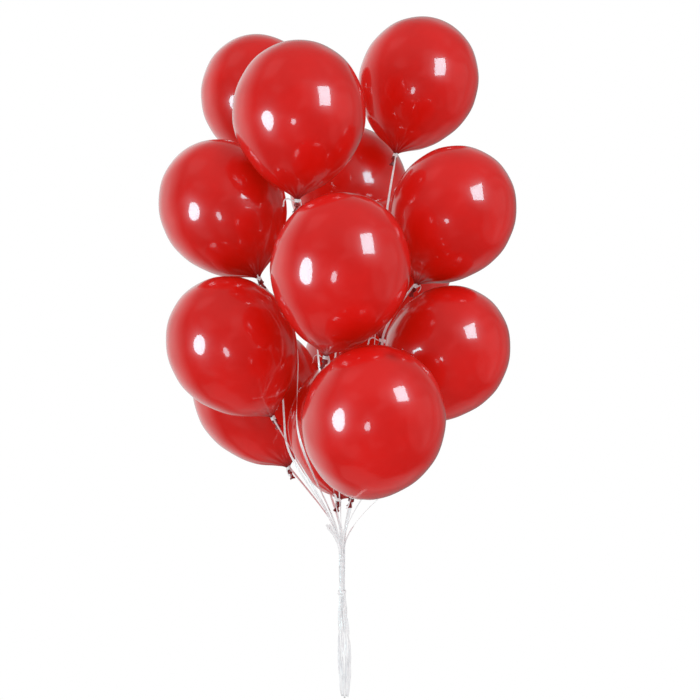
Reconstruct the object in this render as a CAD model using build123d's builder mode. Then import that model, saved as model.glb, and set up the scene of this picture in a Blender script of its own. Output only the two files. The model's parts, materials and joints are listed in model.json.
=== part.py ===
"""A bunch of round latex balloons, each tied to its own length of curling ribbon.

All sizes are in millimetres and +Z is up. The origin is the point where a hand closes round
the gathered ribbons, and the front of the bunch faces -Y. Each balloon is an envelope, the
knot in its neck and the hitch of ribbon above that knot. The ribbons are the fixed body: they
run down from the hitches, through the hand and the gather knot, to their cut ends.
"""

import os
from math import cos, pi, radians, sin, tan

from build123d import *

# Envelope: its outline from crown to shoulder, in half widths out from the axis and up from the
# widest circle
FILM = 0.35  # wall of the blown skin, thicker than stretched latex so that it can be meshed
OUTLINE = [
    (0.0, 1.08),
    (0.5, 0.94),
    (0.87, 0.53),
    (1.0, 0.0),
    (0.93, -0.40),
    (0.73, -0.75),
    (0.47, -1.02),
    (0.14, -1.21),
]
OUTLINE_ENDS = [(1, 0), (-1, -0.5)]  # directions of the outline at the crown and the shoulder
CAVITY_FLOOR = -1.225
NECK_DROP = 1.25
NECK_RADIUS = 4.5

# Depths along the neck, measured down from NECK_DROP half widths under the widest circle
NECK_TOP = 6.0
TIE_DEPTH = 9.0
NECK_END = 13.0

# Hitch: turns of ribbon round the neck, and the curled end left over from tying it
TURN_RADIUS = 1.1
TURN_PITCH = 1.9
TURN_COUNT = 3
CURL_RADIUS = 0.7
CURL_START = 5.5
CURL_BENDS = [(16, -35), (9, 135), (6, -60)]  # radius and turn of each bend

# Neck knot: the neck looped round itself, its flared tail and the rolled lip
STEM_RADIUS = 4.0
STEM_LENGTH = 10.0
WRAP_RING = 3.8
WRAP_BULK = 2.6
WRAP_DEPTH = 5.0
WRAP_TILT = 18
TAIL_DEPTH = 8.0
TAIL_TILT = 14
TAIL_OUTLINE = [(0, 3), (2.6, 3), (2.9, -3), (5.6, -12), (4.8, -12), (2.0, -2.5), (0, -2.5)]
LIP_RING = 5.3
LIP_DROP = -12.4
LIP_BEAD = 1.0

# Ribbons: a flat ribbon 5 mm wide, drawn as a round strand
STRAND_RADIUS = 1.0
INNER_RING = 2.1
OUTER_RING = 5.0
ARC_SHARE = 0.45  # of a run, taken up by the arc at each of its ends

# The gathered strands: height, shift to the right, spread of the two rings, turn in degrees
GATHERED = [(12, 0, 1.0, 0), (-60, 0, 1.0, 6), (-116, 0, 0.85, 16)]
TRAILING = [(-150, 1, 1.5, 30), (-190, 3, 1.75, 42), (-232, 5, 2.45, 34), (-276, 6, 2.3, 44)]
RIPPLE = 0.24  # of its ring, by which a trailing strand weaves in and out
CUT_ENDS = (-318, 5, 1.5, 56)
CUT_STEPS = [0, 9, 4, 13, 6]  # how much lower each following strand is cut

# Gather knot below the hand
GATHER_HEIGHT = -116
GATHER_CORE = 6.5
GATHER_TALL = 6.0
GATHER_RING = 5.6
GATHER_BULK = 2.6
GATHER_TILTS = [(20, 0, 0), (-25, 10, 0)]

# Doubled ends of ribbon that stick out between the fingers
FOLD_WIDTH = 8.0
FOLD_THICK = 1.4
FOLD_ROUTE = [(-5, -9, -32), (-7, -10, 0), (-32, -13, 27)]

# Each balloon: the centre of its widest circle, half its width, and its lean in degrees to the
# right and to the back
BALLOONS = {
    "top_left": ((-194, 396, 970), 132, -10, 5),
    "top_middle": ((-88, -24, 874), 137, 1.3, 0),
    "top_right": ((170, 284, 988), 133, 17.5, 5),
    "upper_left": ((-256, 124, 694), 135, -27, 10),
    "upper_right": ((230, 6, 672), 129, 27, -5),
    "middle_front": ((-2, -174, 548), 138, 9.8, -12),
    "lower_left": ((-230, 26, 398), 134, -29, -8),
    "lower_right": ((216, -28, 384), 127, 28, 0),
    "bottom_front": ((62, -234, 250), 139, 15, -30),
    "bottom_left": ((-190, 288, 294), 144, -23, 15),
    "upper_back": ((14, 430, 760), 136, 2, 12),
    "bottom_back": ((20, 96, 226), 135, 10, 30),
    "lower_back": ((46, 448, 350), 138, 0, 22),
    "middle_back": ((110, 232, 580), 133, 8, 8),
}

# Each ribbon's route from its hitch down to the hand
ROUTES = {
    "top_left": [(-166, 371, 800), (-120, 88, 188), (-96, 64, 140)],
    "top_middle": [(-82, -26, 694), (-30, -42, 197), (-15, -31, 80)],
    "top_right": [
        (119, 259, 822),
        (99, 148, 712),
        (86, 80, 610),
        (52, -46, 245),
        (40, -42, 172),
    ],
    "upper_left": [
        (-176, 103, 536),
        (-126, 88, 469),
        (-91, 77, 405),
        (-95, 6, 226),
        (-73, -2, 156),
    ],
    "upper_right": [(148, 12, 522), (88, 2, 436), (57, -45, 222), (45, -41, 170)],
    "middle_front": [(-24, -131, 373)],
    "lower_left": [(-144, 41, 244)],
    "lower_right": [(133, -19, 238), (72, -16, 131)],
    "bottom_front": [(23, -134, 102)],
    "bottom_left": [(-117, 230, 129)],
    "upper_back": [(5, 384, 587), (-38, 222, 156), (-32, 160, 92)],
    "bottom_back": [(-2, 14, 69)],
    "lower_back": [(45, 371, 185)],
    "middle_back": [(95, 205, 407), (150, 166, 250), (154, 140, 180), (126, 104, 118)],
}

# Each ribbon's place in the gathered bundle: its ring, and its angle round the ring
STRANDS = {
    "top_left": (OUTER_RING, 144),
    "top_middle": (OUTER_RING, 252),
    "top_right": (INNER_RING, 0),
    "upper_left": (OUTER_RING, 216),
    "upper_right": (OUTER_RING, 324),
    "middle_front": (INNER_RING, 270),
    "lower_left": (OUTER_RING, 180),
    "lower_right": (INNER_RING, 90),
    "bottom_front": (OUTER_RING, 288),
    "bottom_left": (OUTER_RING, 108),
    "upper_back": (OUTER_RING, 72),
    "bottom_back": (INNER_RING, 180),
    "lower_back": (OUTER_RING, 36),
    "middle_back": (OUTER_RING, 0),
}


def up_axis(lean_right, lean_back):
    """The direction from a balloon's neck to its crown."""
    right, back = radians(lean_right), radians(lean_back)
    return Vector(sin(right) * cos(back), sin(back), cos(right) * cos(back))


def radial_plane(origin, axis, side):
    """A plane whose x is the distance from the axis, towards side, and whose y is up the axis."""
    return Plane(origin=origin, x_dir=side, z_dir=side.cross(axis))


def write(part, name):
    part.label = name
    export_step(part, f"parts/{name}.step")


def make_envelope(plane, half_width):
    """The sealed skin from crown to shoulder, with a solid neck under its cavity."""
    neck_top = -(NECK_DROP * half_width + NECK_TOP)
    neck_end = -(NECK_DROP * half_width + NECK_END)
    outside = [(half_width * r, half_width * z) for r, z in OUTLINE]
    inside = [((half_width - FILM) * r, (half_width - FILM) * z) for r, z in OUTLINE]
    floor = (0, CAVITY_FLOOR * half_width)
    with BuildPart() as envelope:
        with BuildSketch(plane):
            with BuildLine():
                Spline(*outside, tangents=OUTLINE_ENDS)
                Spline(outside[-1], (NECK_RADIUS, neck_top), tangents=[OUTLINE_ENDS[1], (0, -1)])
                Polyline((NECK_RADIUS, neck_top), (NECK_RADIUS, neck_end), (0, neck_end), outside[0])
            make_face()
        revolve(axis=Axis(plane.origin, plane.y_dir))
        with BuildSketch(plane):
            with BuildLine():
                Spline(*inside, tangents=OUTLINE_ENDS)
                Polyline(inside[-1], floor, inside[0])
            make_face()
        revolve(axis=Axis(plane.origin, plane.y_dir), mode=Mode.SUBTRACT)
    return envelope.part


def make_hitch(plane):
    """Turns of ribbon side by side round the neck, and the curled end left over."""
    with BuildPart() as hitch:
        with BuildSketch(plane):
            with Locations((NECK_RADIUS + TURN_RADIUS / 2, 0)):
                Rectangle(TURN_RADIUS, TURN_PITCH * TURN_COUNT)
            with Locations((NECK_RADIUS + TURN_RADIUS, 0)):
                with GridLocations(0, TURN_PITCH, 1, TURN_COUNT):
                    Circle(TURN_RADIUS)
        revolve(axis=Axis(plane.origin, plane.y_dir))
        with BuildLine(plane) as curl:
            end, heading = (-CURL_START, 0), (-1, 0)
            for radius, turn in CURL_BENDS:
                bend = JernArc(end, heading, radius, turn)
                end, heading = bend @ 1, bend % 1
        with BuildSketch(Plane(origin=curl.line @ 0, z_dir=curl.line % 0)):
            Circle(CURL_RADIUS)
        sweep(path=curl.line)
    return hitch.part


def make_neck_knot(plane):
    """The neck looped round itself, with the flared tail and rolled lip under the loop."""
    below = Plane(origin=plane.origin, x_dir=plane.x_dir, z_dir=-plane.y_dir)
    tail = Plane(plane.origin - plane.y_dir * TAIL_DEPTH, plane.x_dir, plane.z_dir)
    tail = tail.rotated((0, 0, -TAIL_TILT))
    with BuildPart(below) as knot:
        Cylinder(STEM_RADIUS, STEM_LENGTH, align=(Align.CENTER, Align.CENTER, Align.MIN))
        with Locations((0, 0, WRAP_DEPTH)):
            Torus(WRAP_RING, WRAP_BULK, rotation=(WRAP_TILT, 0, 0))
        with BuildSketch(tail):
            with BuildLine():
                Polyline(*TAIL_OUTLINE, close=True)
            make_face()
            with Locations((LIP_RING, LIP_DROP)):
                Circle(LIP_BEAD)
        revolve(axis=Axis(tail.origin, tail.y_dir))
    return knot.part


def strand_point(level, ring, angle):
    """Where a strand of the gathered bundle passes one level."""
    height, shift, spread, turn = level
    bearing = radians(angle + turn)
    return (shift + ring * spread * cos(bearing), ring * spread * sin(bearing), height)


def strand_route(name, order):
    """A ribbon's whole route, from its hitch to its cut end."""
    ring, angle = STRANDS[name]
    points = list(ROUTES[name])
    points += [strand_point(level, ring, angle) for level in GATHERED]
    for step, level in enumerate(TRAILING):
        weave = RIPPLE if (step + order) % 2 else -RIPPLE
        height, shift, spread, turn = level
        points.append(strand_point((height, shift, spread + weave, turn), ring, angle))
    height, shift, spread, turn = CUT_ENDS
    height -= CUT_STEPS[order % len(CUT_STEPS)]
    points.append(strand_point((height, shift, spread, turn), ring, angle))
    return [Vector(*point) for point in points]


def bend_radii(points):
    """The largest arc that the two runs at each bend leave room for."""
    radii = []
    for before, bend, after in zip(points, points[1:], points[2:]):
        turn = radians((bend - before).get_angle(after - bend))
        shorter = min((bend - before).length, (after - bend).length)
        radii.append(ARC_SHARE * shorter / tan(turn / 2))
    return radii


def make_strand(points):
    """One ribbon as a round strand along straight runs joined by arcs."""
    with BuildPart() as strand:
        with BuildLine() as path:
            FilletPolyline(*points, radius=bend_radii(points))
        with BuildSketch(Plane(origin=path.line @ 0, z_dir=path.line % 0)):
            Circle(STRAND_RADIUS)
        sweep(path=path.line)
    return strand.part


def make_gather_knot():
    """The overhand knot that holds all the ribbons together."""
    with BuildPart(Plane.XY.offset(GATHER_HEIGHT)) as knot:
        Cylinder(GATHER_CORE, GATHER_TALL)
        for tilt in GATHER_TILTS:
            Torus(GATHER_RING, GATHER_BULK, rotation=tilt)
    return knot.part


def make_folded_ends():
    """A doubled flat end of ribbon, bent out to the upper left."""
    points = [Vector(*point) for point in FOLD_ROUTE]
    with BuildPart() as ends:
        with BuildLine() as path:
            FilletPolyline(*points, radius=bend_radii(points))
        with BuildSketch(Plane(origin=path.line @ 0, x_dir=(1, 0, 0), z_dir=path.line % 0)):
            Rectangle(FOLD_WIDTH, FOLD_THICK)
        sweep(path=path.line)
    return ends.part


def make_balloon(name):
    """A balloon's envelope, neck knot and hitch, placed along its own axis."""
    centre, half_width, lean_right, lean_back = BALLOONS[name]
    centre = Vector(*centre)
    axis = up_axis(lean_right, lean_back)
    neck = centre - axis * NECK_DROP * half_width
    tie = neck - axis * TIE_DEPTH
    leaving = Vector(*ROUTES[name][0]) - tie
    side = (leaving - axis * leaving.dot(axis)).normalized()
    write(make_envelope(radial_plane(centre, axis, side), half_width), f"envelope_{name}")
    write(make_hitch(radial_plane(tie, axis, side)), f"hitch_{name}")
    write(make_neck_knot(radial_plane(neck - axis * NECK_END, axis, side)), f"neck_knot_{name}")


def make_ribbon(name, order):
    """A ribbon, with its length and its tightest bend printed."""
    points = strand_route(name, order)
    strand = make_strand(points)
    length = strand.volume / (pi * STRAND_RADIUS**2)
    print(f"ribbon_{name}: {length:.0f} long, bends {min(bend_radii(points)):.0f} or more")
    write(strand, f"ribbon_{name}")


def main():
    os.makedirs("parts", exist_ok=True)
    for order, name in enumerate(BALLOONS):
        make_balloon(name)
        make_ribbon(name, order)
    write(make_gather_knot(), "gather_knot")
    write(make_folded_ends(), "folded_ends")


if __name__ == "__main__":
    main()
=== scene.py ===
"""The looks of a bunch of round latex balloons on curling ribbons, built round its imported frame.

A balloon is made in a small frame of its own: the origin is where its ribbon is tied, +Z runs up the
balloon's axis and +X points to the side where the ribbon leaves. All sizes are in metres.
"""

import json
from math import atan2, cos, exp, hypot, pi, radians, sin

import bmesh
import bpy
import numpy as np
from mathutils import Matrix, Vector, noise


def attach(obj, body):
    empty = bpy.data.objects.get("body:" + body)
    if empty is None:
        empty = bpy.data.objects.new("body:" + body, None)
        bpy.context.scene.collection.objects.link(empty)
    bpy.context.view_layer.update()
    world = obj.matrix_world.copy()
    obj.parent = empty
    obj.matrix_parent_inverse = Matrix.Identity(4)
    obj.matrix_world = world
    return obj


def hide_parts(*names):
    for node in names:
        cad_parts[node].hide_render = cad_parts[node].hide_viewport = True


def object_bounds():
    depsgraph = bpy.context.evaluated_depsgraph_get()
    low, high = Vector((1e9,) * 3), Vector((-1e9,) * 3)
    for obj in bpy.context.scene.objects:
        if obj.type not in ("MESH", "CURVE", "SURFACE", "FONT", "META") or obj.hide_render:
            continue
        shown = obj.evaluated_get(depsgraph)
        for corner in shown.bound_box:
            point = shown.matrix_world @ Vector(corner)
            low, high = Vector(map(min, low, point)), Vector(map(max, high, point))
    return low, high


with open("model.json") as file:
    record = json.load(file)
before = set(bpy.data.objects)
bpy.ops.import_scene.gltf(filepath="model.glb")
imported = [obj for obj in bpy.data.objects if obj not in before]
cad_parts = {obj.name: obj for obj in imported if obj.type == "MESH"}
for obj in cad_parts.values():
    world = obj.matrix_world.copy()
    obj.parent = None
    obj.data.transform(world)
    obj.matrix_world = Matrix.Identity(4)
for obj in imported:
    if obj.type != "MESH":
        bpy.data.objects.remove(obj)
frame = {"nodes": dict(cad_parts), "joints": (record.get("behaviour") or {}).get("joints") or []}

bl_info = {
    "name": "Latex Balloon Bunch",
    "version": (1, 0, 0),
    "blender": (4, 5, 0),
    "location": "View3D > Sidebar > Balloons",
    "description": "Skins, knots, hitches and curling ribbons of a bunch of latex balloons",
    "category": "Object",
}

CAD_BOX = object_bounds()

# Balloon skin: its outline from crown to shoulder in half widths, then its neck in metres, as
# distance from the axis and height over the tie
OUTLINE = [
    (0.0, 1.08),
    (0.5, 0.94),
    (0.87, 0.53),
    (1.0, 0.0),
    (0.93, -0.40),
    (0.73, -0.75),
    (0.47, -1.02),
    (0.14, -1.21),
]
NECK_OUTLINE = [(0.0078, 0.0068), (0.0047, 0.003), (0.0039, 0.0), (0.0041, -0.003), (0.0036, -0.0045)]
NECK_DROP = 1.25
TIE_DEPTH = 0.009
SKIN_STEPS = 96
CURVE_STEPS = 8
PLEAT_REACH = 0.5
CROWN_SPOT = 0.085

# Neck knot, under the tie: its stem, and its wraps as bulk, ring, arc, turn and tilt
KNOT_TOP = -0.004
KNOT_FOOT = -0.014
KNOT_STEM = [(0.0036, KNOT_TOP), (0.0034, -0.0065), (0.0039, -0.010), (0.0030, KNOT_FOOT)]
KNOT_WRAPS = [(0.0026, 0.0040, 2 * pi, 0, 18), (0.0021, 0.0043, radians(235), 70, -32)]
WRAP_DEPTH = -0.009
WRAP_SQUASH = 0.88
WRINKLE = 0.00045
WRINKLE_SCALE = 260.0
WRINKLE_SEED = 1

# Tail of the neck, under the knot, with its rolled lip
TAIL_DEPTH = -0.012
TAIL_TILT = radians(14)
TAIL_OUTSIDE = [(0.0, 0.003), (0.0026, 0.0028), (0.0027, -0.001), (0.0031, -0.005), (0.0045, -0.0100)]
TAIL_INSIDE = [(0.0040, -0.0102), (0.0026, -0.0055), (0.0018, -0.0025), (0.0, -0.0022)]
LIP_RING = 0.0053
LIP_DROP = -0.0122
LIP_BEAD = 0.001

# Hitch of bunched ribbon round the neck: band width, thickness and cup, and its knot of two loops
HITCH_RING = 0.0052
HITCH_PITCH = 0.0019
HITCH_TURNS = 3.2
HITCH_STEPS = 72
HITCH_BAND = (0.0024, 0.0006, 0.0003)
LOOP_RING = 0.0014
LOOP_BULK = 0.0008
LOOP_OUT = 0.0066
LOOPS = [(62, 0.0009), (-50, -0.0007)]

# Curled end of the ribbon: radius and turn of each bend
CURL_START = (-0.0055, 0.0)
CURL_BENDS = [(0.016, -35), (0.009, 135), (0.006, -60)]
CURL_STEPS = 12
CURL_WIDTH = 0.72
CURL_TWIST_IN = 0.012
CURL_SWAY = 0.004

# Each ribbon's route from its hitch down to the hand
ROUTES = {
    "top_left": [
        (-0.166, 0.371, 0.800),
        (-0.124, 0.113, 0.241),
        (-0.120, 0.088, 0.188),
        (-0.096, 0.064, 0.140),
    ],
    "top_middle": [
        (-0.082, -0.026, 0.694),
        (-0.042, -0.038, 0.314),
        (-0.030, -0.042, 0.197),
        (-0.015, -0.031, 0.080),
    ],
    "top_right": [
        (0.119, 0.259, 0.822),
        (0.099, 0.148, 0.712),
        (0.086, 0.080, 0.610),
        (0.059, -0.022, 0.309),
        (0.052, -0.046, 0.245),
        (0.040, -0.042, 0.172),
    ],
    "upper_left": [
        (-0.176, 0.103, 0.536),
        (-0.126, 0.088, 0.469),
        (-0.091, 0.077, 0.405),
        (-0.0935, 0.029, 0.288),
        (-0.095, 0.006, 0.226),
        (-0.073, -0.002, 0.156),
    ],
    "upper_right": [
        (0.148, 0.012, 0.522),
        (0.088, 0.002, 0.436),
        (0.080, -0.010, 0.382),
        (0.062, -0.038, 0.250),
        (0.057, -0.045, 0.222),
        (0.045, -0.041, 0.170),
    ],
    "middle_front": [(-0.024, -0.131, 0.373)],
    "lower_left": [(-0.144, 0.041, 0.244)],
    "lower_right": [(0.133, -0.019, 0.238), (0.072, -0.016, 0.131)],
    "bottom_front": [(0.023, -0.134, 0.102)],
    "bottom_left": [(-0.117, 0.230, 0.129)],
    "upper_back": [(0.005, 0.384, 0.587), (-0.038, 0.222, 0.156), (-0.032, 0.160, 0.092)],
    "bottom_back": [(-0.002, 0.014, 0.069)],
    "lower_back": [(0.045, 0.371, 0.185)],
    "middle_back": [
        (0.095, 0.205, 0.407),
        (0.150, 0.166, 0.250),
        (0.154, 0.140, 0.180),
        (0.126, 0.104, 0.118),
    ],
}

# Each ribbon's place in the gathered bundle: its ring, and its angle round the ring
INNER_RING = 0.0021
OUTER_RING = 0.005
STRANDS = {
    "top_left": (OUTER_RING, 144),
    "top_middle": (OUTER_RING, 252),
    "top_right": (INNER_RING, 0),
    "upper_left": (OUTER_RING, 216),
    "upper_right": (OUTER_RING, 324),
    "middle_front": (INNER_RING, 270),
    "lower_left": (OUTER_RING, 180),
    "lower_right": (INNER_RING, 90),
    "bottom_front": (OUTER_RING, 288),
    "bottom_left": (OUTER_RING, 108),
    "upper_back": (OUTER_RING, 72),
    "bottom_back": (INNER_RING, 180),
    "lower_back": (OUTER_RING, 36),
    "middle_back": (OUTER_RING, 0),
}

# Levels of the gathered bundle: height, shift to the right, spread of the two rings, turn in degrees
GATHERED = [(0.012, 0, 1.0, 0), (-0.060, 0, 1.0, 6), (-0.116, 0, 0.85, 16)]
TRAILING = [
    (-0.150, 0.001, 1.5, 30),
    (-0.190, 0.003, 1.75, 42),
    (-0.232, 0.005, 2.45, 34),
    (-0.276, 0.006, 2.3, 44),
]
RIPPLE = 0.24
CUT_ENDS = (-0.318, 0.005, 1.5, 56)
CUT_STEPS = [0, 0.009, 0.004, 0.013, 0.006]

# How a flat ribbon lies: shingled in the bundle, swinging above it and waving below it
SHINGLE = 28
LINE_STEPS = 20
BUNDLE_TOP = 0.02
SWING_REACH = 0.9

# Gather knot: bands wound round the bundle
GATHER_HEIGHT = -0.116
GATHER_TILTS = [(20, 0), (-25, 10)]
GATHER_BANDS = 8
GATHER_RING = 0.0058
GATHER_RISE = 0.0006
GATHER_STEPS = 48
GATHER_TURNS = 1.1

# Folded ends beside the hand: the fan, lift and shortening of each flat
FOLD_ROUTE = [(-0.0038, -0.0074, -0.032), (-0.007, -0.010, 0.0), (-0.032, -0.013, 0.027)]
FOLDS = [(0.0, 0.0, 0.0), (0.0022, 0.0009, 0.0035), (-0.0020, 0.0018, 0.006)]

# Studio: each light's azimuth, elevation, width and height in degrees, shape and share of brightness
LIGHTS = {
    "left_softbox": (-53, -4, 22, 30, "ELLIPSE", 1.0),
    "right_softbox": (44, 27, 19, 21, "RECTANGLE", 1.0),
    "front_lamp": (-9, -12, 8, 10, "ELLIPSE", 0.6),
}
LIGHT_DISTANCE = 3.5
LIGHT_COLOUR = (0.45, 0.9, 1.0)
FLOOR_RADIUS = 4.4
CAMERA_PLACE = (0.0166, -3.5, 0.387)
CAMERA_LENS = 87.0


class LatexSettings(bpy.types.PropertyGroup):
    colour: bpy.props.FloatVectorProperty(
        name="Film colour",
        description="Colour of the stretched latex film",
        subtype="COLOR",
        size=3,
        min=0,
        max=1,
        default=(0.70, 0.001, 0.002),
    )
    thick_colour: bpy.props.FloatVectorProperty(
        name="Thick colour",
        description="Colour of unstretched latex, at the neck, the knot and the crown",
        subtype="COLOR",
        size=3,
        min=0,
        max=1,
        default=(0.20, 0.004, 0.004),
    )
    # Painted glow: even emission over the film that stands in for light let through from behind; it
    # tints the shade between balloons orange.
    painted_glow: bpy.props.FloatProperty(
        name="Glow",
        description="Light that the film lets through from behind",
        min=0,
        max=1,
        default=0.05,
    )
    pleats: bpy.props.IntProperty(
        name="Pleats",
        description="Number of creases that run up from the tied neck",
        min=3,
        max=40,
        default=13,
    )
    pleat_depth: bpy.props.FloatProperty(
        name="Pleat depth",
        description="Depth of a crease at the neck, as a share of the neck's radius",
        subtype="FACTOR",
        min=0,
        max=0.3,
        default=0.09,
    )


class RibbonSettings(bpy.types.PropertyGroup):
    width: bpy.props.FloatProperty(
        name="Width",
        description="Width of the curling ribbon",
        unit="LENGTH",
        min=0.002,
        max=0.02,
        default=0.005,
    )
    thickness: bpy.props.FloatProperty(
        name="Thickness",
        description="Thickness of the curling ribbon",
        unit="LENGTH",
        min=0.00005,
        max=0.001,
        default=0.00022,
    )
    cup: bpy.props.FloatProperty(
        name="Cup",
        description="How far the ribbon's edges stand in front of its middle",
        unit="LENGTH",
        min=0,
        max=0.002,
        default=0.0004,
    )
    colour: bpy.props.FloatVectorProperty(
        name="Ribbon colour",
        description="Colour of the ribbon",
        subtype="COLOR",
        size=3,
        min=0,
        max=1,
        default=(0.93, 0.93, 0.94),
    )
    # Painted glow: even white emission over the ribbon that stands in for light let through from
    # behind.
    painted_glow: bpy.props.FloatProperty(
        name="Glow",
        description="Light that the ribbon lets through from behind",
        min=0,
        max=1,
        default=0.12,
    )


class StudioSettings(bpy.types.PropertyGroup):
    floor_height: bpy.props.FloatProperty(
        name="Floor height",
        description="Height of the floor under the hand that holds the ribbons",
        unit="LENGTH",
        default=-1.15,
    )
    softbox: bpy.props.FloatProperty(
        name="Softbox",
        description="Brightness of the softboxes that show as highlights in the gloss",
        min=0,
        default=14.5,
    )
    surround: bpy.props.FloatProperty(
        name="Surround",
        description="Brightness of the white studio round the bunch",
        min=0,
        default=0.96,
    )


class Value:
    """A socket of a finish. Sums written with it add Math nodes."""

    def __init__(self, finish, socket):
        self.finish = finish
        self.socket = socket

    def math(self, operation, first, second=0.0):
        return self.finish.node("ShaderNodeMath", {"operation": operation}, {0: first, 1: second})

    def __add__(self, other):
        return self.math("ADD", self, other)

    def __sub__(self, other):
        return self.math("SUBTRACT", self, other)

    def __rsub__(self, other):
        return self.math("SUBTRACT", other, self)

    def __mul__(self, other):
        return self.math("MULTIPLY", self, other)

    __radd__ = __add__

    def sine(self):
        return self.math("SINE", self)

    def ramp(self, low, high, to_low=0.0, to_high=1.0):
        """The value eased from one range to another."""
        return self.finish.node(
            "ShaderNodeMapRange",
            {"interpolation_type": "SMOOTHSTEP"},
            {0: self, 1: low, 2: high, 3: to_low, 4: to_high},
        )


class Finish:
    """Adds the nodes of a material or of the world."""

    def __init__(self, owner):
        self.owner = owner
        owner.use_nodes = True
        self.tree = owner.node_tree
        self.tree.nodes.clear()

    def node(self, kind, settings=None, inputs=None, output=0):
        made = self.tree.nodes.new(kind)
        for name, value in (settings or {}).items():
            setattr(made, name, value)
        for name, value in (inputs or {}).items():
            if isinstance(value, Value):
                self.tree.links.new(value.socket, made.inputs[name])
            else:
                made.inputs[name].default_value = value
        return Value(self, made.outputs[output]) if len(made.outputs) else None

    def place(self):
        return self.node("ShaderNodeTexCoord", output="Object")

    def noise(self, place, scale, detail=2.0):
        return self.node(
            "ShaderNodeTexNoise", {}, {"Vector": place, "Scale": scale, "Detail": detail}, "Fac"
        )

    def mix(self, share, first, second):
        """A colour between two colours."""
        return self.node(
            "ShaderNodeMix", {"data_type": "RGBA"}, {0: share, 6: first, 7: second}, 2
        )

    def bump(self, height, strength, distance):
        return self.node(
            "ShaderNodeBump", {}, {"Height": height, "Strength": strength, "Distance": distance}
        )

    def surface(self, **inputs):
        """A Principled surface; an underscore in a name stands for a space."""
        named = {name.replace("_", " "): value for name, value in inputs.items()}
        shader = self.node("ShaderNodeBsdfPrincipled", {}, named)
        self.node("ShaderNodeOutputMaterial", {}, {"Surface": shader})
        return self.owner


def opaque(colour):
    return (*colour, 1.0)


def material(name, make, *details):
    """The material of that name, made on its first use."""
    found = bpy.data.materials.get(name)
    return found or make(Finish(bpy.data.materials.new(name)), *details)


def stretched_latex(finish, settings):
    """Glossy stretched film: darker where it is thick, with a soft haze under a clear gloss."""
    place = finish.place()
    thick = finish.node("ShaderNodeAttribute", {"attribute_name": "thickness"}, {}, "Fac")
    cloud = finish.noise(place, 9.0, 3.0)
    bloom = finish.noise(place, 60.0, 2.0)
    paler = [channel * 1.06 + 0.001 for channel in settings.colour]
    deeper = [channel * 0.93 for channel in settings.colour]
    film = finish.mix(cloud.ramp(0.3, 0.7), opaque(deeper), opaque(paler))
    colour = finish.mix(thick, film, opaque(settings.thick_colour))
    return finish.surface(
        Base_Color=colour,
        Roughness=0.27 + bloom * 0.08 + thick * 0.12,
        IOR=1.5,
        Specular_IOR_Level=0.3,
        Coat_Weight=1.0 - thick * 0.5,
        Coat_Roughness=0.07,
        Coat_IOR=1.5,
        # Painted glow: orange-red emission that stands in for light let through the film, weaker on
        # thick latex.
        Emission_Color=finish.mix(thick, opaque((1.0, 0.06, 0.0)), opaque((0.1, 0.0, 0.0))),
        Emission_Strength=settings.painted_glow,
        Normal=finish.bump(finish.noise(place, 900.0, 2.0), 0.04, 0.0003),
    )


def knotted_latex(finish, settings):
    """Unstretched latex of the knot and tail: darker, duller and finely wrinkled."""
    place = finish.place()
    wrinkle = finish.noise(place, 700.0, 3.0)
    worn = finish.noise(place, 160.0, 2.0)
    lighter = [channel * 1.9 + 0.004 for channel in settings.thick_colour]
    return finish.surface(
        Base_Color=finish.mix(worn.ramp(0.35, 0.7), opaque(settings.thick_colour), opaque(lighter)),
        Roughness=0.34 + wrinkle * 0.2,
        Coat_Weight=0.5,
        Coat_Roughness=0.12,
        Normal=finish.bump(wrinkle, 0.5, 0.0004),
    )


def curling_ribbon(finish, settings):
    """White ribbon with fine grooves along its length and a silvery sheen."""
    across = finish.node("ShaderNodeSeparateXYZ", {}, {0: finish.node("ShaderNodeUVMap")}, "Y")
    grooves = (across * (2 * pi * 11)).sine()
    handled = finish.noise(finish.place(), 130.0, 3.0)
    shaded = [channel * 0.9 for channel in settings.colour]
    return finish.surface(
        Base_Color=finish.mix(handled.ramp(0.35, 0.7), opaque(shaded), opaque(settings.colour)),
        Roughness=0.24 + handled * 0.16,
        Coat_Weight=0.3,
        Coat_Roughness=0.1,
        # Painted glow: white emission that stands in for light let through the ribbon.
        Emission_Color=opaque((0.95, 0.97, 1.0)),
        Emission_Strength=settings.painted_glow,
        Normal=finish.bump(grooves, 0.35, 0.0001),
    )


def pale_floor(finish, radius):
    """Pale matt floor that fades into the white studio at its rim."""
    place = finish.place()
    away = finish.node("ShaderNodeVectorMath", {"operation": "LENGTH"}, {0: place}, "Value")
    grain = finish.noise(place, 3.0, 4.0)
    white = finish.node("ShaderNodeEmission", {}, {"Color": (1, 1, 1, 1), "Strength": 1.0})
    matt = finish.node(
        "ShaderNodeBsdfPrincipled",
        {},
        {
            "Base Color": finish.mix(grain, (0.86, 0.86, 0.86, 1), (0.9, 0.9, 0.9, 1)),
            "Roughness": 0.6,
            "Specular IOR Level": 0.0,
        },
    )
    fade = away.ramp(radius * 0.2, radius * 0.88)
    both = finish.node("ShaderNodeMixShader", {}, {0: fade, 1: matt, 2: white})
    finish.node("ShaderNodeOutputMaterial", {}, {"Surface": both})
    return finish.owner


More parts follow.
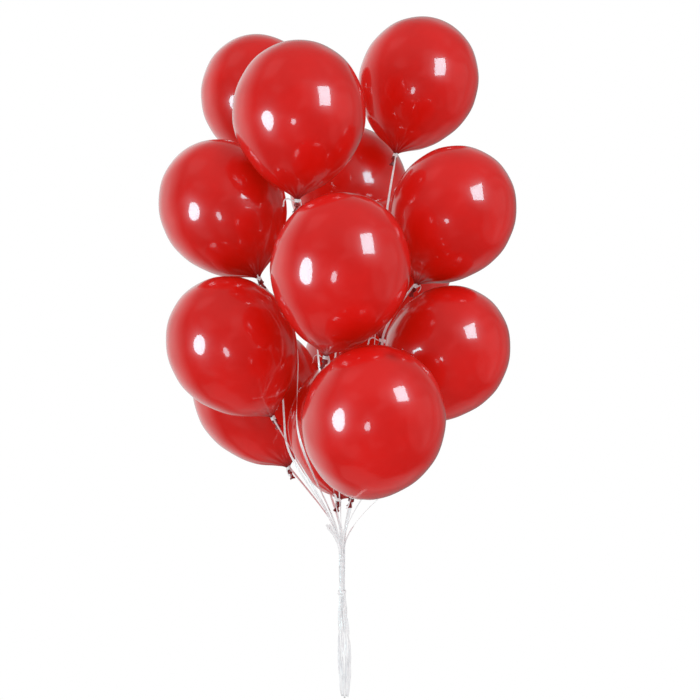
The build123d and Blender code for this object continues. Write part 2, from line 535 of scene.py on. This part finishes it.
def curve_points(kind, points, resolution):
    """Points along a smooth curve: through the given points if BEZIER, guided by them if NURBS."""
    curve = bpy.data.curves.new("guide", "CURVE")
    curve.dimensions = "3D"
    spline = curve.splines.new(kind)
    if kind == "BEZIER":
        spline.bezier_points.add(len(points) - 1)
        for knot, point in zip(spline.bezier_points, points):
            knot.co = point
            knot.handle_left_type = "AUTO"
            knot.handle_right_type = "AUTO"
    else:
        spline.points.add(len(points) - 1)
        for knot, point in zip(spline.points, points):
            knot.co = (*point, 1)
        spline.order_u = 3
        spline.use_endpoint_u = True
    spline.resolution_u = resolution
    curve.resolution_u = resolution
    guide = bpy.data.objects.new("guide", curve)
    mesh = bpy.data.meshes.new_from_object(guide)
    line = [vertex.co.copy() for vertex in mesh.vertices]
    bpy.data.objects.remove(guide)
    bpy.data.curves.remove(curve)
    bpy.data.meshes.remove(mesh)
    return line


def turned(bm, line, steps, angle=2 * pi):
    """Turns a line of points in the XZ plane about +Z, and returns the new vertices."""
    before = set(bm.verts)
    verts = [bm.verts.new(point) for point in line]
    edges = [bm.edges.new(pair) for pair in zip(verts, verts[1:])]
    bmesh.ops.spin(
        bm,
        geom=verts + edges,
        cent=(0, 0, 0),
        axis=(0, 0, 1),
        angle=angle,
        steps=steps,
        use_merge=angle == 2 * pi,
    )
    made = [vert for vert in bm.verts if vert not in before]
    bmesh.ops.remove_doubles(bm, verts=made, dist=1e-6)
    return [vert for vert in bm.verts if vert not in before]


def ring_line(ring, bulk, steps):
    """A closed round section, its centre at ring out from the axis."""
    turns = [2 * pi * k / steps for k in range(steps)] + [0.0]
    return [Vector((ring + bulk * cos(turn), 0, bulk * sin(turn))) for turn in turns]


def laid_band(bm, line, across, width, thickness, cup=0.0, cells=4):
    """A flat band along a line. across gives the direction of its width at a point and tangent."""
    before = set(bm.verts)
    steps = len(line) - 1
    grid = bmesh.ops.create_grid(
        bm, x_segments=steps, y_segments=cells, size=1, calc_uvs=True
    )["verts"]
    for vert in grid:
        step = round((vert.co.x + 1) / 2 * steps)
        tangent = (line[min(step + 1, steps)] - line[max(step - 1, 0)]).normalized()
        wide = across(line[step], tangent)
        wide = (wide - tangent * wide.dot(tangent)).normalized()
        share = vert.co.y
        lift = tangent.cross(wide) * cup * (share * share - 0.33)
        vert.co = line[step] + wide * share * width / 2 + lift
    faces = [face for face in bm.faces if face.verts[0] not in before]
    bmesh.ops.solidify(bm, geom=faces, thickness=thickness)
    return [vert for vert in bm.verts if vert not in before]


def finished(name, bm, place, paint, body, node=None):
    """The piece made from a bmesh, put in place and riding on its body."""
    bmesh.ops.transform(bm, matrix=place, verts=bm.verts)
    bmesh.ops.recalc_face_normals(bm, faces=bm.faces)
    mesh = bpy.data.meshes.new(name)
    bm.to_mesh(mesh)
    bm.free()
    mesh.shade_smooth()
    mesh.materials.append(paint)
    piece = bpy.data.objects.new(name, mesh)
    bpy.context.scene.collection.objects.link(piece)
    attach(piece, body)
    if node:
        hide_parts(node)
    return piece


def new_bmesh():
    """An empty bmesh with a UV map and a thickness value on its vertices."""
    bm = bmesh.new()
    bm.loops.layers.uv.new("UVMap")
    bm.verts.layers.float.new("thickness")
    return bm


def mesh_numbers(collection, attribute, width):
    numbers = np.empty(len(collection) * width, np.float32)
    collection.foreach_get(attribute, numbers)
    return numbers.reshape(-1, width).astype(float)


class Balloon:
    """A balloon's place in the frame: its tie, axis, half width and own small frame."""

    def __init__(self, name):
        self.name = name
        self.body = f"balloon_{name}"
        joint = next(joint for joint in frame["joints"] if joint["child"] == self.body)
        self.tie = Vector(joint["pos_m"])
        skin = frame["nodes"][f"envelope_{name}"].data
        areas = mesh_numbers(skin.polygons, "area", 1)
        middle = (mesh_numbers(skin.polygons, "center", 3) * areas).sum(0) / areas.sum()
        self.axis = (Vector(middle) - self.tie).normalized()
        above = (mesh_numbers(skin.vertices, "co", 3) - np.array(self.tie)) @ np.array(self.axis)
        self.half_width = (above.max() - TIE_DEPTH) / (NECK_DROP + OUTLINE[0][1])
        self.centre = TIE_DEPTH + NECK_DROP * self.half_width
        leaving = Vector(ROUTES[name][0]) - self.tie
        side = (leaving - self.axis * leaving.dot(self.axis)).normalized()
        turn = Matrix((side, self.axis.cross(side), self.axis)).transposed().to_4x4()
        self.place = Matrix.Translation(self.tie) @ turn


def add_skin(balloon, settings):
    """A blown skin, pleated at its neck, with its thick parts marked."""
    radius = balloon.half_width
    outline = [Vector((r * radius, 0, balloon.centre + z * radius)) for r, z in OUTLINE]
    outline += [Vector((r, 0, z)) for r, z in NECK_OUTLINE]
    mirrored = Vector((-outline[1].x, 0, outline[1].z))
    line = curve_points("BEZIER", [mirrored, *outline], CURVE_STEPS)[CURVE_STEPS:]
    line[0].x = 0.0
    line.append(Vector((0, 0, outline[-1].z)))
    bm = new_bmesh()
    turned(bm, line, SKIN_STEPS)
    thickness = bm.verts.layers.float["thickness"]
    for vert in bm.verts:
        out = hypot(vert.co.x, vert.co.y)
        height = vert.co.z
        bearing = atan2(vert.co.y, vert.co.x)
        near_neck = max(0.0, 1 - max(height, 0) / (PLEAT_REACH * radius))
        crease = cos(settings.pleats * bearing + 1.3 * sin(2 * bearing + radius * 90))
        swell = 1 + settings.pleat_depth * near_neck**2.5 * crease
        vert.co.x *= swell
        vert.co.y *= swell
        crown = exp(-((out / (CROWN_SPOT * radius)) ** 2)) if height > balloon.centre else 0.0
        vert[thickness] = min(1.0, 0.45 * crown + near_neck**5 + 0.25 * near_neck**3)
    paint = material("stretched_latex", stretched_latex, settings)
    name = f"skin_{balloon.name}"
    finished(
        name, bm, balloon.place, paint, balloon.body, f"envelope_{balloon.name}"
    )


def wrinkled(verts, seed):
    """Moves vertices by a small smooth noise, another one for each seed, the same in every run."""
    noise.seed_set(WRINKLE_SEED)
    shift = Vector((seed, seed * 0.37, 0))
    for vert in verts:
        vert.co += noise.noise_vector(vert.co * WRINKLE_SCALE + shift) * WRINKLE


def add_neck_knot(balloon, settings, seed):
    """The neck looped over itself under the tie, and the stem through the loop."""
    bm = new_bmesh()
    stem = [(0, KNOT_TOP), *KNOT_STEM, (0, KNOT_FOOT)]
    turned(bm, [Vector((r, 0, z)) for r, z in stem], 24)
    for bulk, ring, arc, turn, tilt in KNOT_WRAPS:
        loop = turned(bm, ring_line(ring, bulk, 16), 36, arc)
        shape = (
            Matrix.Translation((0, 0, WRAP_DEPTH))
            @ Matrix.Rotation(radians(tilt), 4, "X")
            @ Matrix.Rotation(radians(turn), 4, "Z")
            @ Matrix.Diagonal((1, 1, WRAP_SQUASH, 1))
        )
        bmesh.ops.transform(bm, matrix=shape, verts=loop)
    bmesh.ops.holes_fill(bm, edges=[edge for edge in bm.edges if edge.is_boundary], sides=0)
    wrinkled(bm.verts, seed)
    paint = material("knotted_latex", knotted_latex, settings)
    name = f"knot_{balloon.name}"
    finished(
        name, bm, balloon.place, paint, balloon.body, f"neck_knot_{balloon.name}"
    )


def add_tail(balloon, settings, seed):
    """The flared mouth of the balloon under its knot, ruffled and with a rolled lip."""
    steps = 7
    turns = [radians(110 - 300 * k / steps) for k in range(steps + 1)]
    bead = [
        Vector((LIP_RING + LIP_BEAD * cos(turn), 0, LIP_DROP + LIP_BEAD * sin(turn)))
        for turn in turns
    ]
    outside = curve_points("BEZIER", [Vector((r, 0, z)) for r, z in TAIL_OUTSIDE], 4)
    inside = curve_points("BEZIER", [Vector((r, 0, z)) for r, z in TAIL_INSIDE], 4)
    line = outside + bead + inside
    bm = new_bmesh()
    turned(bm, line, 40)
    for vert in bm.verts:
        bearing = atan2(vert.co.y, vert.co.x)
        open_share = min(1.0, max(0.0, vert.co.z / LIP_DROP)) ** 1.5
        ruffle = sin(3 * bearing + seed) + 0.6 * sin(5 * bearing + 2.1 * seed)
        squeeze = 1 + 0.16 * open_share * cos(2 * bearing + seed)
        vert.co.x *= squeeze
        vert.co.y *= 2 - squeeze
        vert.co.z += 0.0009 * open_share * ruffle
    tilt = Matrix.Translation((0, 0, TAIL_DEPTH)) @ Matrix.Rotation(TAIL_TILT, 4, "Y")
    paint = material("knotted_latex", knotted_latex, settings)
    finished(
        f"tail_{balloon.name}", bm, balloon.place @ tilt, paint, balloon.body
    )


def add_hitch(balloon, settings):
    """Turns of bunched ribbon round the neck, drawn up in a small knot."""
    bm = new_bmesh()
    drop = HITCH_PITCH * HITCH_TURNS
    line = []
    for k in range(HITCH_STEPS + 1):
        share = k / HITCH_STEPS
        bearing = 2 * pi * HITCH_TURNS * share
        ring = HITCH_RING + 0.0004 * sin(7 * bearing / HITCH_TURNS)
        line.append(Vector((ring * cos(bearing), ring * sin(bearing), drop * (0.5 - share))))
    up = Vector((0, 0, 1))
    laid_band(bm, line, lambda point, tangent: up, *HITCH_BAND)
    for tilt, lift in LOOPS:
        loop = turned(bm, ring_line(LOOP_RING, LOOP_BULK, 10), 18)
        place = Matrix.Translation((LOOP_OUT, 0, lift)) @ Matrix.Rotation(radians(tilt), 4, "X")
        bmesh.ops.transform(bm, matrix=place, verts=loop)
    paint = material("curling_ribbon", curling_ribbon, settings)
    name = f"hitch_wrap_{balloon.name}"
    finished(name, bm, balloon.place, paint, balloon.body, f"hitch_{balloon.name}")


def curl_line():
    """The curled end's line in the XZ plane, stepped along its bends."""
    point = Vector((CURL_START[0], 0, CURL_START[1]))
    heading = pi
    line = [point.copy()]
    for radius, turn in CURL_BENDS:
        bend = radians(turn) / CURL_STEPS
        for _ in range(CURL_STEPS):
            heading += bend / 2
            point = point + Vector((cos(heading), 0, sin(heading))) * radius * abs(bend)
            heading += bend / 2
            line.append(point.copy())
    return line


def add_curl(balloon, settings, seed):
    """The flat ribbon end left over from tying, curled over a blade."""
    line = curl_line()
    last = len(line) - 1
    for k, point in enumerate(line):
        point.y += CURL_SWAY * sin(seed) * (k / last) ** 2

    def across(point, tangent):
        share = min(1.0, (point - line[0]).length / CURL_TWIST_IN)
        flat = Vector((0, 1, 0))
        return flat + tangent.cross(flat) * share * (0.9 + 0.2 * sin(seed))

    bm = new_bmesh()
    laid_band(bm, line, across, settings.width * CURL_WIDTH, settings.thickness, settings.cup)
    paint = material("curling_ribbon", curling_ribbon, settings)
    finished(f"curl_{balloon.name}", bm, balloon.place, paint, balloon.body)


def strand_point(level, ring, angle):
    """Where a strand of the gathered bundle passes one level."""
    height, shift, spread, turn = level
    bearing = radians(angle + turn)
    return (shift + ring * spread * cos(bearing), ring * spread * sin(bearing), height)


def strand_route(name, order):
    """A ribbon's whole route, from its hitch to its cut end."""
    ring, angle = STRANDS[name]
    points = list(ROUTES[name])
    points += [strand_point(level, ring, angle) for level in GATHERED]
    for step, (height, shift, spread, turn) in enumerate(TRAILING):
        weave = RIPPLE if (step + order) % 2 else -RIPPLE
        points.append(strand_point((height, shift, spread + weave, turn), ring, angle))
    height, shift, spread, turn = CUT_ENDS
    height -= CUT_STEPS[order % len(CUT_STEPS)]
    points.append(strand_point((height, shift, spread, turn), ring, angle))
    return points


def add_ribbon(name, order, settings):
    """One flat ribbon from its hitch, through the hand and the gather knot, to its cut end."""
    balloon = Balloon(name)
    start = balloon.place @ Vector((HITCH_RING + 0.0012, 0, 0))
    line = curve_points("NURBS", [start, *strand_route(name, order)], LINE_STEPS)
    angle = STRANDS[name][1]
    shingle = radians(angle + 90 + SHINGLE)
    swing = radians(70 + 25 * sin(2.3 * order))

    def across(point, tangent):
        bearing = shingle
        if point.z > BUNDLE_TOP:
            above = min(point.z - BUNDLE_TOP, SWING_REACH)
            bearing += swing * sin(above * (9 + order % 4) + 0.3 * order)
        elif point.z < GATHER_HEIGHT:
            below = GATHER_HEIGHT - point.z
            bearing += 1.2 * sin(below * (38 + 5 * (order % 5)) + order)
        return Vector((cos(bearing), sin(bearing), 0))

    bm = new_bmesh()
    laid_band(bm, line, across, settings.width, settings.thickness, settings.cup)
    paint = material("curling_ribbon", curling_ribbon, settings)
    place = Matrix.Identity(4)
    node = f"ribbon_{name}"
    piece = finished(f"strand_{name}", bm, place, paint, "ribbons", node)


def add_gather_knot(settings):
    """All the ribbons' own overhand knot, as bands wound round the bundle."""
    bm = new_bmesh()
    for k in range(GATHER_BANDS):
        tilt_x, tilt_y = GATHER_TILTS[k % 2]
        rise = GATHER_RISE * (k - (GATHER_BANDS - 1) / 2)
        tilt = (
            Matrix.Translation((0, 0, GATHER_HEIGHT + rise))
            @ Matrix.Rotation(radians(tilt_x + 3 * k), 4, "X")
            @ Matrix.Rotation(radians(tilt_y - 2 * k), 4, "Y")
            @ Matrix.Rotation(radians(47 * k), 4, "Z")
        )
        line = []
        for step in range(GATHER_STEPS + 1):
            share = step / GATHER_STEPS
            bearing = 2 * pi * GATHER_TURNS * share
            ring = GATHER_RING + 0.00025 * k + 0.0007 * sin(2 * bearing + k) + 0.0004 * share
            line.append(tilt @ Vector((ring * cos(bearing), ring * sin(bearing), 0)))
        up = tilt.to_3x3() @ Vector((0.35 * sin(k), 0.35 * cos(k), 1)).normalized()
        size = (settings.width * 0.8, settings.thickness, 0.0008)
        laid_band(bm, line, lambda point, tangent: up, *size)
    paint = material("curling_ribbon", curling_ribbon, settings)
    return finished(
        "gather_wraps", bm, Matrix.Identity(4), paint, "ribbons", "gather_knot"
    )


def add_folded_ends(settings):
    """Doubled flat ends of ribbon that stick out between the fingers."""
    bm = new_bmesh()
    for fan, lift, short in FOLDS:
        route = [Vector(point) for point in FOLD_ROUTE]
        route[0] -= Vector((0, 0.114, 0.343)) * short
        out = (route[2] - route[1]).normalized()
        route[2] = route[2] - out * short + Vector((fan, 0, fan))
        route = [point + Vector((0, -lift, 0)) for point in route]
        line = curve_points("NURBS", route, 16)
        wide = Vector((0.8, -0.25 + 60 * fan, 0.55))
        size = (settings.width, settings.thickness, settings.cup)
        laid_band(bm, line, lambda point, tangent: wide, *size)
    paint = material("curling_ribbon", curling_ribbon, settings)
    return finished(
        "folded_flats", bm, Matrix.Identity(4), paint, "ribbons", "folded_ends"
    )


class BALLOONS_OT_skins(bpy.types.Operator):
    """Blow the latex skins"""

    bl_idname = "balloons.skins"
    bl_label = "Latex skins"

    def execute(self, context):
        for name in ROUTES:
            add_skin(Balloon(name), context.scene.balloon_latex)
        return {"FINISHED"}


class BALLOONS_OT_neck_knots(bpy.types.Operator):
    """Tie the neck of each balloon and flare its tail"""

    bl_idname = "balloons.neck_knots"
    bl_label = "Neck knots"

    def execute(self, context):
        for seed, name in enumerate(ROUTES):
            balloon = Balloon(name)
            add_neck_knot(balloon, context.scene.balloon_latex, seed)
            add_tail(balloon, context.scene.balloon_latex, seed)
        return {"FINISHED"}


class BALLOONS_OT_hitches(bpy.types.Operator):
    """Wind the ribbon round each neck and curl its end"""

    bl_idname = "balloons.hitches"
    bl_label = "Hitches and curls"

    def execute(self, context):
        for seed, name in enumerate(ROUTES):
            balloon = Balloon(name)
            add_hitch(balloon, context.scene.balloon_ribbon)
            add_curl(balloon, context.scene.balloon_ribbon, seed)
        return {"FINISHED"}


class BALLOONS_OT_ribbons(bpy.types.Operator):
    """Run the ribbons from the hitches, through the hand and the gather knot, to their cut ends"""

    bl_idname = "balloons.ribbons"
    bl_label = "Ribbons"

    def execute(self, context):
        settings = context.scene.balloon_ribbon
        gathered = [add_gather_knot(settings), add_folded_ends(settings)]
        for order, name in enumerate(ROUTES):
            add_ribbon(name, order, settings)
        return {"FINISHED"}


def studio_world(settings):
    """White studio: an even soft light, and a surround whose reflection is dimmer in front."""
    world = bpy.data.worlds.new("white_studio")
    bpy.context.scene.world = world
    finish = Finish(world)
    look = finish.node("ShaderNodeTexCoord", output="Generated")
    axes = {"inputs": {0: look}}
    back = finish.node("ShaderNodeSeparateXYZ", output="Y", **axes)
    up = finish.node("ShaderNodeSeparateXYZ", output="Z", **axes)
    side = finish.node("ShaderNodeSeparateXYZ", output="X", **axes)
    cloud = finish.noise(look, 1.6, 1.0)
    overhead = up.ramp(0.3, 0.8) * 0.16
    behind = back.ramp(0.2, 0.9) * 0.2
    left_wall = (back - side).ramp(0.8, 1.3) * 0.6
    right_wall = side.ramp(0.75, 0.82) * 0.14
    mirrored = cloud.ramp(0.48, 0.66) * 0.2 + overhead + behind + left_wall + right_wall
    soft = up.ramp(-1.0, 1.0, 0.88, 1.06) * settings.surround
    rays = finish.tree.nodes.new("ShaderNodeLightPath")
    diffuse = Value(finish, rays.outputs["Is Diffuse Ray"])
    camera = Value(finish, rays.outputs["Is Camera Ray"])
    strength = finish.node("ShaderNodeMix", {}, {0: diffuse, 2: mirrored, 3: soft})
    strength = finish.node("ShaderNodeMix", {}, {0: camera, 2: strength, 3: 1.0})
    light = finish.node("ShaderNodeBackground", {}, {"Color": (1, 1, 1, 1), "Strength": strength})
    finish.node("ShaderNodeOutputWorld", {}, {"Surface": light})


def add_light(name, centre, brightness):
    """An area light that faces the bunch and shows only in its gloss."""
    azimuth, elevation, width, height, shape, share = LIGHTS[name]
    across = radians(azimuth)
    up = radians(elevation)
    towards = Vector((sin(across) * cos(up), -cos(across) * cos(up), sin(up)))
    light = bpy.data.lights.new(name, "AREA")
    light.shape = shape
    light.size = 2 * LIGHT_DISTANCE * sin(radians(width / 2))
    light.size_y = 2 * LIGHT_DISTANCE * sin(radians(height / 2))
    light.energy = brightness * share * pi * light.size * light.size_y
    light.color = LIGHT_COLOUR
    lamp = bpy.data.objects.new(name, light)
    lamp.location = centre + towards * LIGHT_DISTANCE
    lamp.rotation_euler = towards.to_track_quat("Z", "Y").to_euler()
    lamp.visible_diffuse = False
    lamp.visible_camera = False
    bpy.context.scene.collection.objects.link(lamp)


class BALLOONS_OT_stage(bpy.types.Operator):
    """Set up the floor, the soft light and the camera"""

    bl_idname = "balloons.stage"
    bl_label = "Stage"

    def execute(self, context):
        settings = context.scene.balloon_studio
        low, high = CAD_BOX
        centre = (low + high) / 2
        bm = bmesh.new()
        bmesh.ops.create_circle(bm, cap_ends=True, segments=96, radius=FLOOR_RADIUS)
        mesh = bpy.data.meshes.new("floor")
        bm.to_mesh(mesh)
        bm.free()
        mesh.materials.append(material("pale_floor", pale_floor, FLOOR_RADIUS))
        floor = bpy.data.objects.new("floor", mesh)
        floor.location = (0, 0, settings.floor_height)
        context.scene.collection.objects.link(floor)
        floor.visible_glossy = False
        studio_world(settings)
        for name in LIGHTS:
            add_light(name, centre, settings.softbox)
        lens = bpy.data.cameras.new("camera")
        lens.lens = CAMERA_LENS
        lens.sensor_width = 36.0
        camera = bpy.data.objects.new("camera", lens)
        camera.location = CAMERA_PLACE
        camera.rotation_euler = (pi / 2, 0, 0)
        context.scene.collection.objects.link(camera)
        context.scene.camera = camera
        context.scene.view_settings.view_transform = "Standard"
        return {"FINISHED"}


class BALLOONS_PT_panel(bpy.types.Panel):
    """Sizes, colours and steps of the balloon bunch"""

    bl_label = "Balloon bunch"
    bl_idname = "BALLOONS_PT_panel"
    bl_space_type = "VIEW_3D"
    bl_region_type = "UI"
    bl_category = "Balloons"

    def draw(self, context):
        for settings in (
            context.scene.balloon_latex,
            context.scene.balloon_ribbon,
            context.scene.balloon_studio,
        ):
            box = self.layout.box()
            for name in settings.__annotations__:
                box.prop(settings, name)
        for operator in OPERATORS:
            self.layout.operator(operator.bl_idname)


SETTINGS = {
    "balloon_latex": LatexSettings,
    "balloon_ribbon": RibbonSettings,
    "balloon_studio": StudioSettings,
}
OPERATORS = [
    BALLOONS_OT_stage,
    BALLOONS_OT_skins,
    BALLOONS_OT_neck_knots,
    BALLOONS_OT_hitches,
    BALLOONS_OT_ribbons,
]


def register():
    for group in [*SETTINGS.values(), *OPERATORS, BALLOONS_PT_panel]:
        bpy.utils.register_class(group)
    for name, group in SETTINGS.items():
        setattr(bpy.types.Scene, name, bpy.props.PointerProperty(type=group))


def unregister():
    for name in SETTINGS:
        delattr(bpy.types.Scene, name)
    for group in reversed([*SETTINGS.values(), *OPERATORS, BALLOONS_PT_panel]):
        bpy.utils.unregister_class(group)


def main():
    register()
    bpy.ops.balloons.stage()
    bpy.ops.balloons.skins()
    bpy.ops.balloons.neck_knots()
    bpy.ops.balloons.hitches()
    bpy.ops.balloons.ribbons()


if __name__ == "__main__":
    main()
